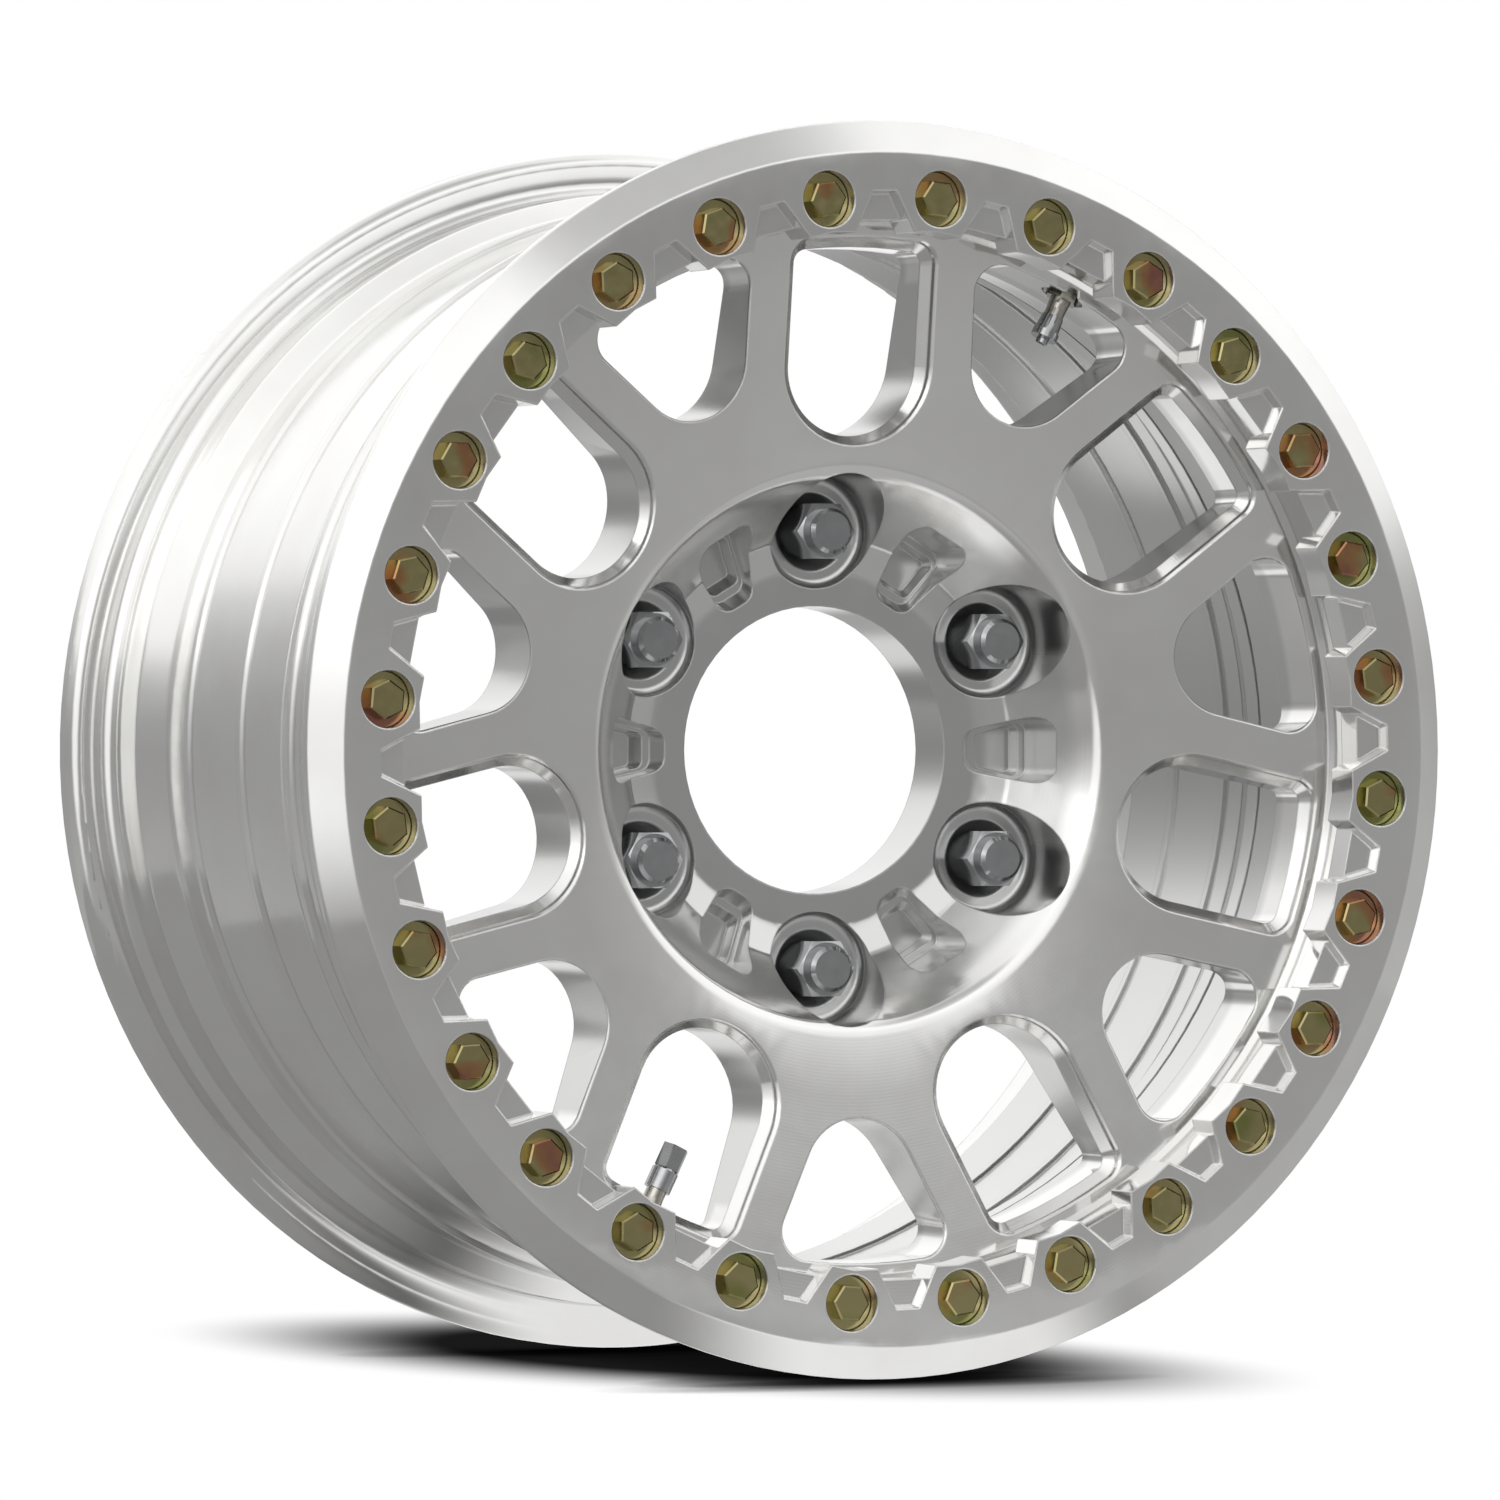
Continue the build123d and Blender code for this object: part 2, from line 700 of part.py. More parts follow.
os.makedirs("parts", exist_ok=True)
for node, solid in build().items():
    export_step(solid, f"parts/{node}.step")
    print(node, "solids", len(solid.solids()), "volume", round(solid.volume))
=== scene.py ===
import json
import math
import bmesh
import bpy
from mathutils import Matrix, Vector


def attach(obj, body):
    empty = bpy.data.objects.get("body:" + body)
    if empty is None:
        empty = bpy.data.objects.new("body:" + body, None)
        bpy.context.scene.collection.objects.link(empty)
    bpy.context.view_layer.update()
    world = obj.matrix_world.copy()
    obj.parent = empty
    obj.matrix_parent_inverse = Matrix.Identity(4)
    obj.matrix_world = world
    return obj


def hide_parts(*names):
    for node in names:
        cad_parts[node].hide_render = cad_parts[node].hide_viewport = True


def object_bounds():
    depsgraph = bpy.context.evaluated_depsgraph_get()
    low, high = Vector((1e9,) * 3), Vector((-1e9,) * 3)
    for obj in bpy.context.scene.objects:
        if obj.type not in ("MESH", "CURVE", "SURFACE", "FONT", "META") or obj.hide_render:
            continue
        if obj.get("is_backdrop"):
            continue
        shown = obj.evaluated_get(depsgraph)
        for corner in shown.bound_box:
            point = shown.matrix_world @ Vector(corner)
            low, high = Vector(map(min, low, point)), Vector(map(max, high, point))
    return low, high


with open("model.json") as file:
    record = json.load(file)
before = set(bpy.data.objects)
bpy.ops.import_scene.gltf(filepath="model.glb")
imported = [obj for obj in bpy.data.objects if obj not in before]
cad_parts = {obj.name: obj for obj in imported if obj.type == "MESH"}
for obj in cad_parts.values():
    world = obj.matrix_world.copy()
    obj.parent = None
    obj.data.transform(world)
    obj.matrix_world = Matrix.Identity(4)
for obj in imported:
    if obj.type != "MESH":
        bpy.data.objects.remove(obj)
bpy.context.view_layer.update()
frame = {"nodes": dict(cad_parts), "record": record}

millimetre = 0.001
scene = bpy.context.scene
print("wheel loaded:", len(frame["nodes"]), "nodes")


def addNode(tree, kind, settings=None, inputs=None):
    # one node with its settings; an input is a value or the socket that feeds it
    node = tree.nodes.new(kind)
    for name, value in (settings or {}).items():
        setattr(node, name, value)
    for name, value in (inputs or {}).items():
        if isinstance(value, bpy.types.NodeSocket):
            tree.links.new(value, node.inputs[name])
        else:
            node.inputs[name].default_value = value
    return node


def linearColour(hexCode):
    # sRGB hex as painted on screen, turned to the linear value that Cycles works in
    parts = [int(hexCode[i:i + 2], 16) / 255 for i in (1, 3, 5)]
    return [p / 12.92 if p <= 0.04045 else ((p + 0.055) / 1.055) ** 2.4 for p in parts] + [1.0]


# the camera stands low, in front and to the left, level with the hub
cameraPlace = {
    "stand": (-1.5963, -3.3647, 0.0),
    "looksAlong": (0.4252, 0.9051, 0.0),
    "lens": 234.96,
    "sensor": 36.0,
}


def placeCamera(place):
    data = bpy.data.cameras.new("photoCamera")
    data.lens = place["lens"]
    data.sensor_width = place["sensor"]
    data.clip_start = 0.05
    data.clip_end = 100
    camera = bpy.data.objects.new("photoCamera", data)
    camera.location = place["stand"]
    camera.rotation_mode = "QUATERNION"
    camera.rotation_quaternion = Vector(place["looksAlong"]).to_track_quat("-Z", "Y")
    scene.collection.objects.link(camera)
    scene.camera = camera


placeCamera(cameraPlace)
print("camera placed")


# a grey room, brighter above the horizon, with soft boxes, dark cards and a white backdrop
studio = {
    # how bright the room is from straight down (-1) over the horizon (0) to straight up (1)
    "room": ((-1.0, 0.28), (-0.50, 0.30), (-0.28, 0.42), (-0.12, 0.37), (0.0, 0.345), (0.12, 0.47), (0.20, 0.72),
             (0.32, 1.18), (0.70, 1.25), (1.0, 0.65)),
    # each box or card: where it hangs, its glow (a card takes light away), and where it starts and is full
    "patches": {
        "leftBox": ((-0.68, -0.72, 0.20), 0.75, 0.87, 0.975),
        "lowBox": ((0.38, -0.43, -0.82), 0.95, 0.905, 0.975),
        "rightBox": ((0.97, -0.14, -0.28), 0.12, 0.90, 0.98),
        "frontCard": ((0.40, -0.86, 0.31), -0.15, 0.93, 0.99),
        "topCard": ((0.06, -0.47, 0.88), -0.55, 0.92, 0.99),
    },
    "backdrop": (0.4252, 0.9051, 0.0), "backdropFrom": 0.955, "backdropTo": 0.99,
    # a round board, lying a hair below the wheel and a little behind it; metres
    "floorRadius": 0.80, "floorSides": 96, "floorBack": 0.04, "floorGap": 0.0003, "floorColour": "#B4B4B4",
    # how much of the floor's white the metal mirrors out to the left and to the right, and where that changes: a
    # painted reflection, since only rays off polished metal see this glow
    "mirroredLeft": 0.30, "mirroredRight": 0.48, "leftEnds": -0.10, "rightStarts": 0.15,
    # the same painted reflection, brightest at the wheel's foot: where the foot is, how far it reaches, the part of
    # that reach that is full, and how far in front of the hub it fades in
    "mirroredFoot": 1.0, "foot": 0.02, "footReach": 0.12, "footFull": 0.4, "footFrom": -0.24, "footTo": -0.15,
    # the painted contact shade, a dark line where the wheel stands: how far it reaches, and how deep it gets
    "contact": 0.03, "contactDepth": 2.0,
    # the pool of shade under and behind the wheel: its middle, how fast it fades one way and the other,
    # where its rim and its core are, and how much of it the metal mirrors
    "shadeMiddle": (0.019, 0.105), "shadeAcross": (4.005, -1.881), "shadeAlong": (4.217, 2.386),
    "shadeRim": 1.03, "shadeCore": 0.48, "shadeDepth": 0.99, "shadeMirrored": 0.7,
    "lampPower": 9.0, "lampWide": 1.1, "lampHigh": 1.4,
}


def betweenValues(tree, value, start, end, low=0.0, high=1.0):
    # low up to the start, high from the end, and a smooth step between them
    ramp = addNode(tree, "ShaderNodeMapRange", {"interpolation_type": "SMOOTHSTEP"},
                   {"Value": value, "From Min": start, "From Max": end, "To Min": low, "To Max": high})
    return ramp.outputs["Result"]


def softPatch(tree, direction, towards, start, end, glow):
    # a soft patch of light on the wall that lies in one direction
    dot = addNode(tree, "ShaderNodeVectorMath", {"operation": "DOT_PRODUCT"}, {0: direction, 1: towards})
    return betweenValues(tree, dot.outputs["Value"], start, end, 0.0, glow)


def poolOfShade(tree, place, s):
    # a soft ellipse on the floor, dark inside and gone at its rim
    middle = (*s["shadeMiddle"], 0.0)
    moved = addNode(tree, "ShaderNodeVectorMath", {"operation": "SUBTRACT"}, {0: place, 1: middle}).outputs[0]
    parts = {}
    for axis, slope in (("X", s["shadeAcross"]), ("Y", s["shadeAlong"])):
        parts[axis] = addNode(tree, "ShaderNodeVectorMath", {"operation": "DOT_PRODUCT"},
                              {0: moved, 1: (*slope, 0.0)}).outputs["Value"]
    far = addNode(tree, "ShaderNodeCombineXYZ", None, parts).outputs[0]
    far = addNode(tree, "ShaderNodeVectorMath", {"operation": "LENGTH"}, {0: far}).outputs["Value"]
    return betweenValues(tree, far, s["shadeRim"], s["shadeCore"], 1.0, 1.0 - s["shadeDepth"])


def polishedRays(tree, rays):
    # 1 for the rays that leave polished metal or glass
    return addNode(tree, "ShaderNodeMath", {"operation": "MAXIMUM"},
                   {0: rays.outputs["Is Glossy Ray"], 1: rays.outputs["Is Transmission Ray"]}).outputs[0]


def lightTheStudio(s):
    world = bpy.data.worlds.new("studioRoom")
    scene.world = world
    world.use_nodes = True
    tree = world.node_tree
    tree.nodes.clear()
    place = addNode(tree, "ShaderNodeTexCoord").outputs["Generated"]
    height = addNode(tree, "ShaderNodeSeparateXYZ", None, {0: place}).outputs["Z"]
    share = addNode(tree, "ShaderNodeMapRange", None, {"Value": height, "From Min": -1.0, "From Max": 1.0})
    curve = addNode(tree, "ShaderNodeFloatCurve", None, {"Value": share.outputs["Result"]})
    line = curve.mapping.curves[0]
    top = max(glow for _, glow in s["room"])
    for index, (z, glow) in enumerate(s["room"]):
        spot = ((z + 1) / 2, glow / top)
        if index in (0, len(s["room"]) - 1):
            line.points[0 if index == 0 else -1].location = spot
        else:
            line.points.new(*spot)
    curve.mapping.update()
    room = addNode(tree, "ShaderNodeMath", {"operation": "MULTIPLY"}, {0: curve.outputs[0], 1: top}).outputs[0]
    for towards, glow, start, end in s["patches"].values():
        patch = softPatch(tree, place, towards, start, end, glow)
        room = addNode(tree, "ShaderNodeMath", {"operation": "ADD"}, {0: room, 1: patch}).outputs[0]
    back = softPatch(tree, place, s["backdrop"], s["backdropFrom"], s["backdropTo"], 1.0)
    rays = addNode(tree, "ShaderNodeLightPath")
    # the camera sees plain white all round, and polished metal sees it where the backdrop stands
    behind = addNode(tree, "ShaderNodeMath", {"operation": "MULTIPLY"}, {0: polishedRays(tree, rays), 1: back})
    white = addNode(tree, "ShaderNodeMath", {"operation": "ADD", "use_clamp": True},
                    {0: rays.outputs["Is Camera Ray"], 1: behind.outputs[0]})
    wall = addNode(tree, "ShaderNodeBackground", None, {"Color": (1, 1, 1, 1), "Strength": room})
    sheet = addNode(tree, "ShaderNodeBackground", None, {"Color": (1, 1, 1, 1), "Strength": 1.0})
    mixed = addNode(tree, "ShaderNodeMixShader", None,
                    {0: white.outputs[0], 1: wall.outputs[0], 2: sheet.outputs[0]})
    addNode(tree, "ShaderNodeOutputWorld", None, {"Surface": mixed.outputs[0]})


def hangOverheadLamp(s):
    # one wide lamp overhead, which polished metal doesn't mirror
    lamp = bpy.data.lights.new("overheadSoftbox", "AREA")
    lamp.shape = "SQUARE"
    lamp.size = s["lampWide"]
    lamp.energy = s["lampPower"]
    holder = bpy.data.objects.new("overheadSoftbox", lamp)
    holder.location = (0.0, 0.0, s["lampHigh"])
    holder.visible_glossy = False
    scene.collection.objects.link(holder)


def layFloor(s):
    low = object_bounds()[0]
    mesh = bpy.data.meshes.new("paleFloor")
    shape = bmesh.new()
    bmesh.ops.create_circle(shape, cap_ends=True, radius=s["floorRadius"], segments=s["floorSides"])
    bmesh.ops.translate(shape, verts=shape.verts, vec=(0, s["floorBack"], low.z - s["floorGap"]))
    shape.to_mesh(mesh)
    shape.free()
    floor = bpy.data.objects.new("paleFloor", mesh)
    scene.collection.objects.link(floor)
    paint = bpy.data.materials.new("palePaintedBoard")
    paint.use_nodes = True
    tree = paint.node_tree
    tree.nodes.clear()
    rays = addNode(tree, "ShaderNodeLightPath")
    # the camera sees the board as white as the backdrop, darkened by painted shade where the wheel stands close over
    # it and in the pool of shade, both painted because a board that glows takes no shadow
    place = addNode(tree, "ShaderNodeTexCoord").outputs["Object"]
    near = addNode(tree, "ShaderNodeAmbientOcclusion", {"samples": 12}, {"Distance": s["contact"]})
    dark = addNode(tree, "ShaderNodeMath", {"operation": "POWER"}, {0: near.outputs["AO"], 1: s["contactDepth"]})
    pool = poolOfShade(tree, place, s)
    shade = addNode(tree, "ShaderNodeMath", {"operation": "MULTIPLY"}, {0: dark.outputs[0], 1: pool})
    seen = addNode(tree, "ShaderNodeEmission", None, {"Color": shade.outputs[0], "Strength": 1.0})
    # polished metal mirrors that white and its shade, most of it close to the wheel's foot; this glow is painted
    # reflection light, dimmer to the left and brighter to the right, with the painted pool of shade in it
    across, forward = addNode(tree, "ShaderNodeSeparateXYZ", None, {0: place}).outputs[:2]
    share = betweenValues(tree, across, s["leftEnds"], s["rightStarts"], s["mirroredLeft"], s["mirroredRight"])
    faint = addNode(tree, "ShaderNodeMath", {"operation": "MULTIPLY_ADD"},
                    {0: pool, 1: s["shadeMirrored"], 2: 1.0 - s["shadeMirrored"]}).outputs[0]
    share = addNode(tree, "ShaderNodeMath", {"operation": "MULTIPLY"}, {0: share, 1: faint}).outputs[0]
    aside = addNode(tree, "ShaderNodeMath", {"operation": "SUBTRACT"}, {0: across, 1: s["foot"]}).outputs[0]
    aside = addNode(tree, "ShaderNodeMath", {"operation": "ABSOLUTE"}, {0: aside}).outputs[0]
    foot = addNode(tree, "ShaderNodeMath", {"operation": "MULTIPLY"},
                   {0: betweenValues(tree, aside, s["footReach"], s["footReach"] * s["footFull"]),
                    1: betweenValues(tree, forward, s["footFrom"], s["footTo"])}).outputs[0]
    share = addNode(tree, "ShaderNodeMix", {"data_type": "FLOAT"}, {0: foot, 2: share, 3: s["mirroredFoot"]})
    mirrored = addNode(tree, "ShaderNodeEmission", None, {"Color": share.outputs[0], "Strength": 1.0})
    flat = addNode(tree, "ShaderNodeBsdfDiffuse", None, {"Color": linearColour(s["floorColour"])})
    mixed = flat.outputs[0]
    for ray, glow in ((polishedRays(tree, rays), mirrored), (rays.outputs["Is Camera Ray"], seen)):
        mixed = addNode(tree, "ShaderNodeMixShader", None, {0: ray, 1: mixed, 2: glow.outputs[0]}).outputs[0]
    addNode(tree, "ShaderNodeOutputMaterial", None, {"Surface": mixed})
    mesh.materials.append(paint)
    floor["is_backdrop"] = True


lightTheStudio(studio)
hangOverheadLamp(studio)
layFloor(studio)
print("studio lit")


def newMaterial(name):
    material = bpy.data.materials.new(name)
    material.use_nodes = True
    tree = material.node_tree
    tree.nodes.clear()
    surface = addNode(tree, "ShaderNodeBsdfPrincipled")
    addNode(tree, "ShaderNodeOutputMaterial", None, {"Surface": surface.outputs[0]})
    place = addNode(tree, "ShaderNodeTexCoord").outputs["Object"]
    return material, tree, surface, place


def scaleForPitch(pitch):
    # a Wave texture repeats every 0.314 of a metre at scale 1
    return math.tau / 20 / (pitch * millimetre)


def cuttingMarks(tree, place, m):
    # fine lines left by the lathe tool, drawn coarser than the real 0.2 mm feed so that they show, over edges
    # that the deburring brush has rounded
    wave = addNode(tree, "ShaderNodeTexWave", {"wave_type": "RINGS", "rings_direction": "Y"},
                   {"Vector": place, "Scale": scaleForPitch(m["pitch"]), "Distortion": 0.0, "Detail": 0.0})
    rounded = addNode(tree, "ShaderNodeBevel", {"samples": 4}, {"Radius": m["edge"] * millimetre})
    return addNode(tree, "ShaderNodeBump", None,
                   {"Height": wave.outputs["Fac"], "Strength": m["depth"], "Distance": m["height"] * millimetre,
                    "Normal": rounded.outputs[0]})


def mottled(tree, place, grain, low, high):
    # a slow change from low to high, with patches of about the grain's size; noise lies mostly from 0.3 to 0.7
    noise = addNode(tree, "ShaderNodeTexNoise", None,
                    {"Vector": place, "Scale": 1.0 / (grain * millimetre), "Detail": 3.0, "Roughness": 0.55})
    ramp = addNode(tree, "ShaderNodeMapRange", None,
                   {"Value": noise.outputs["Fac"], "From Min": 0.3, "From Max": 0.7, "To Min": low, "To Max": high})
    return ramp.outputs["Result"]


def twoTone(tree, amount, first, second):
    mix = addNode(tree, "ShaderNodeMix", {"data_type": "RGBA"},
                  {0: amount, 6: linearColour(first), 7: linearColour(second)})
    return mix.outputs[2]


# forged 6061 aluminium, turned and polished: near-mirror faces, a faint ring grain and a slightly warm grey
wheelMetal = {
    "bright": "#E9E9E7", "dull": "#E3E2E0", "patch": 38.0, "smooth": 0.07, "worn": 0.13, "spot": 11.0, "metal": 0.93,
    "pitch": 1.3, "height": 0.02, "depth": 0.05, "edge": 0.9,
    # on the milled walls of the windows and inside the barrel the metal isn't polished: greyer and softer
    "milled": "#CFCFCE", "milledRough": 0.17, "wallFrom": 0.45, "wallTo": 0.20,
    "wallInner": 104.0, "wallOuter": 180.0, "wallBlend": 4.0,
    "backOfDisc": -52.0, "backBlend": 6.0, "barrelInside": 207.0, "barrelBlend": 3.0,
    # the lug counterbores keep their cutter's finer marks, so they scatter more of the light that falls in
    "boreMetal": 0.62, "boreRough": 0.16, "boreInner": 64.0, "boreOuter": 101.0, "boreBlend": 3.0,
}


def ringShare(tree, share, radius, inner, outer, blend):
    # the share that lies between two radii, faded out over the blend at both
    for start, end in ((outer, outer - blend), (inner, inner + blend)):
        within = betweenValues(tree, radius, start * millimetre, end * millimetre)
        share = addNode(tree, "ShaderNodeMath", {"operation": "MULTIPLY"}, {0: share, 1: within}).outputs[0]
    return share


def cutterShares(tree, place, m):
    # where the metal was only milled, and where the counterbores' walls are; a wall runs along the wheel's axis
    flat = addNode(tree, "ShaderNodeVectorMath", {"operation": "MULTIPLY"}, {0: place, 1: (1.0, 0.0, 1.0)})
    radius = addNode(tree, "ShaderNodeVectorMath", {"operation": "LENGTH"}, {0: flat.outputs[0]}).outputs["Value"]
    facing = addNode(tree, "ShaderNodeSeparateXYZ", None,
                     {0: addNode(tree, "ShaderNodeTexCoord").outputs["Normal"]}).outputs["Y"]
    facing = addNode(tree, "ShaderNodeMath", {"operation": "ABSOLUTE"}, {0: facing}).outputs[0]
    depth = addNode(tree, "ShaderNodeSeparateXYZ", None, {0: place}).outputs["Y"]
    wall = betweenValues(tree, facing, m["wallFrom"], m["wallTo"])
    window = ringShare(tree, wall, radius, m["wallInner"], m["wallOuter"], m["wallBlend"])
    bore = ringShare(tree, wall, radius, m["boreInner"], m["boreOuter"], m["boreBlend"])
    behind = betweenValues(tree, depth, m["backOfDisc"] * millimetre, (m["backOfDisc"] + m["backBlend"]) * millimetre)
    inside = betweenValues(tree, radius, (m["barrelInside"] + m["barrelBlend"]) * millimetre,
                           m["barrelInside"] * millimetre)
    barrel = addNode(tree, "ShaderNodeMath", {"operation": "MULTIPLY"}, {0: behind, 1: inside}).outputs[0]
    return addNode(tree, "ShaderNodeMath", {"operation": "MAXIMUM"}, {0: window, 1: barrel}).outputs[0], bore


def polishedAluminium(name, m):
    material, tree, surface, place = newMaterial(name)
    patches = mottled(tree, place, m["patch"], 0.0, 1.0)
    milled, bore = cutterShares(tree, place, m)
    colour = addNode(tree, "ShaderNodeMix", {"data_type": "RGBA"},
                     {0: milled, 6: twoTone(tree, patches, m["bright"], m["dull"]), 7: linearColour(m["milled"])})
    tree.links.new(colour.outputs[2], surface.inputs["Base Color"])
    rough = addNode(tree, "ShaderNodeMix", {"data_type": "FLOAT"},
                    {0: milled, 2: mottled(tree, place, m["spot"], m["smooth"], m["worn"]), 3: m["milledRough"]})
    rough = addNode(tree, "ShaderNodeMix", {"data_type": "FLOAT"}, {0: bore, 2: rough.outputs[0], 3: m["boreRough"]})
    tree.links.new(rough.outputs[0], surface.inputs["Roughness"])
    metal = addNode(tree, "ShaderNodeMix", {"data_type": "FLOAT"}, {0: bore, 2: m["metal"], 3: m["boreMetal"]})
    tree.links.new(metal.outputs[0], surface.inputs["Metallic"])
    marks = cuttingMarks(tree, place, m)
    tree.links.new(marks.outputs["Normal"], surface.inputs["Normal"])
    return material


# zinc plating passivated yellow: thin colour bands that drift from olive and green to copper and pink
zincMetal = {
    "gold": "#A99F72", "green": "#8E8F58", "copper": "#AD8359", "rose": "#A06F62",
    "bands": ((0.34, "green"), (0.44, "gold"), (0.57, "gold"), (0.64, "copper"), (0.72, "rose")),
    "smooth": 0.12, "worn": 0.24, "spot": 4.0,
}


def yellowZinc(name, m, patch):
    material, tree, surface, place = newMaterial(name)
    drift = addNode(tree, "ShaderNodeTexNoise", None,
                    {"Vector": place, "Scale": 1.0 / (patch * millimetre), "Detail": 1.5, "Roughness": 0.45})
    bands = addNode(tree, "ShaderNodeValToRGB", None, {"Fac": drift.outputs["Fac"]})
    stops = bands.color_ramp.elements
    for index, (position, colour) in enumerate(m["bands"]):
        # a new ramp comes with two stops
        stop = stops[index] if index < 2 else stops.new(position)
        stop.position = position
        stop.color = linearColour(m[colour])
    tree.links.new(bands.outputs["Color"], surface.inputs["Base Color"])
    tree.links.new(mottled(tree, place, m["spot"], m["smooth"], m["worn"]), surface.inputs["Roughness"])
    surface.inputs["Metallic"].default_value = 1.0
    return material


# a little haze in the plating and the turned metals scatters light, so they aren't wholly metallic
platedShare = 0.88
# bright chromium over nickel on steel: darker than aluminium and sharp as a mirror
chromeMetal = {"bright": "#AFB0B1", "dull": "#A5A6A7", "smooth": 0.03, "worn": 0.07}
# nickel plate on brass, a little yellow and softer than chromium
nickelMetal = {"bright": "#BDBAB2", "dull": "#A9A59B", "smooth": 0.10, "worn": 0.20}
# turned brass, bare
brassMetal = {"bright": "#D9B96E", "dull": "#BF9A52", "smooth": 0.18, "worn": 0.32}
# clear zinc on pressed steel: bluish grey with a soft shine
zincSteel = {"bright": "#B9BCC0", "dull": "#9FA3A8", "smooth": 0.22, "worn": 0.36}


def platedMetal(name, m, patch):
    material, tree, surface, place = newMaterial(name)
    tree.links.new(twoTone(tree, mottled(tree, place, patch, 0.0, 1.0), m["bright"], m["dull"]),
                   surface.inputs["Base Color"])
    tree.links.new(mottled(tree, place, patch * 0.4, m["smooth"], m["worn"]), surface.inputs["Roughness"])
    surface.inputs["Metallic"].default_value = platedShare
    return material


# moulded EPDM rubber: almost black, matt, with a bloom of dust
sealRubber = {"black": "#1B1B1C", "bloom": "#2A2A2B", "patch": 3.0, "rough": 0.62, "roughest": 0.80, "spot": 1.2}


def mouldedRubber(name, m):
    material, tree, surface, place = newMaterial(name)
    tree.links.new(twoTone(tree, mottled(tree, place, m["patch"], 0.0, 1.0), m["black"], m["bloom"]),
                   surface.inputs["Base Color"])
    tree.links.new(mottled(tree, place, m["spot"], m["rough"], m["roughest"]), surface.inputs["Roughness"])
    return material


# the number after a metal is the width of its patches in mm
finishes = {
    "wheel_body": polishedAluminium("polishedForgedAluminium", wheelMetal),
    "beadlock_ring": polishedAluminium("machinedAluminiumRing", wheelMetal),
    "ring_bolts": yellowZinc("yellowZincSteelBolt", zincMetal, 26),
    "ring_washers": yellowZinc("yellowZincSteelWasher", zincMetal, 34),
    "lug_nuts": platedMetal("chromedSteelNut", chromeMetal, 6),
    "valve_stem": platedMetal("nickelPlatedBrassStem", nickelMetal, 5),
    "valve_seal": mouldedRubber("mouldedRubberSeal", sealRubber),
    "valve_washer": platedMetal("clearZincSteelWasher", zincSteel, 4),
    "valve_nut": platedMetal("nickelPlatedBrassNut", nickelMetal, 5),
    "valve_core_body": platedMetal("turnedBrassCore", brassMetal, 2),
    "valve_core_pin": platedMetal("turnedBrassPin", brassMetal, 2),
    "valve_core_spring": platedMetal("springSteelWire", zincSteel, 2),
    "valve_cap": platedMetal("chromedBrassCap", chromeMetal, 5),
    "valve_cap_gasket": mouldedRubber("mouldedRubberGasket", sealRubber),
}


def finishOf(node):
    return finishes[node.replace("upper_", "").replace("lower_", "")]


print("materials made:", len(finishes))


# each CAD piece that mirrors the room gets a twin with merged points, whose narrow bevels shade as round edges;
# widths are in mm, and ownTurn and otherTurn are the least cosines between two faces that share their shading
twinShading = {
    "weld": 0.002, "sliver": 0.01, "crease": 24.0, "ownTurn": 0.64, "otherTurn": 0.45,
    "wide": {"wheel_body": 1.3, "beadlock_ring": 1.3, "lug_nuts": 0.6},
    "fine": 0.3,
    "small": [end + part for end in ("upper_valve_", "lower_valve_") for part in ("stem", "nut", "cap", "washer")],
}
bodyOfNode = {node: body for body, nodes in frame["record"]["behaviour"]["bodies"].items() for node in nodes}


def smoothPatches(shape, crease, s):
    # faces that meet at less than the crease angle make one patch; a patch's mean width tells a bevel from a face
    limit = math.radians(crease)
    sliver = (s["sliver"] * millimetre) ** 2
    shape.faces.index_update()
    areas = [face.calc_area() for face in shape.faces]
    patchOf = [-1] * len(shape.faces)
    widths = []
    for start in shape.faces:
        if patchOf[start.index] >= 0:
            continue
        patchOf[start.index] = len(widths)
        waiting, area, rim = [start], 0.0, 0.0
        while waiting:
            face = waiting.pop()
            area += areas[face.index]
            for edge in face.edges:
                # a sliver's own direction means nothing, so no patch runs on across one
                whole = len(edge.link_faces) == 2 and min(areas[other.index] for other in edge.link_faces) > sliver
                if not whole or edge.calc_face_angle(math.pi) > limit:
                    rim += edge.calc_length()
                    continue
                for other in edge.link_faces:
                    if patchOf[other.index] < 0:
                        patchOf[other.index] = len(widths)
                        waiting.append(other)
        widths.append(2 * area / max(rim, 1e-9))
    return patchOf, widths, areas


def roundEdgeNormals(shape, crease, narrow, s):
    # a corner of a wide face keeps its own patch's normal; a corner of a narrow bevel takes its neighbour's
    patchOf, widths, areas = smoothPatches(shape, crease, s)
    meeting = [[] for _ in shape.verts]
    for face in shape.faces:
        for corner in face.loops:
            weight = areas[face.index] * corner.calc_angle()
            meeting[corner.vert.index].append((patchOf[face.index], face.normal, weight))
    normals = []
    for face in shape.faces:
        own = patchOf[face.index]
        bevel = widths[own] < narrow * millimetre
        for corner in face.loops:
            sums = {}
            for patch, normal, weight in meeting[corner.vert.index]:
                # faces that turn far away from this one never bend its shading, even in the same patch
                turn = s["ownTurn"] if patch == own else s["otherTurn"]
                if normal.dot(face.normal) > turn and (bevel or patch == own):
                    sums[patch] = sums.get(patch, Vector()) + normal * weight
            best = sums.get(own, Vector())
            near = [n.normalized() for patch, n in sums.items() if widths[patch] >= narrow * millimetre]
            if bevel and near:
                best = max(near, key=face.normal.dot)
            normals.append(best.normalized() if best.length > 0 else face.normal.copy())
    return normals


def shadeMesh(mesh, weld, crease, narrow, s):
    shape = bmesh.new()
    shape.from_mesh(mesh)
    bmesh.ops.remove_doubles(shape, verts=shape.verts, dist=weld * millimetre)
    shape.verts.index_update()
    for face in shape.faces:
        face.smooth = True
    normals = roundEdgeNormals(shape, crease, narrow, s)
    shape.to_mesh(mesh)
    shape.free()
    mesh.normals_split_custom_set(normals)


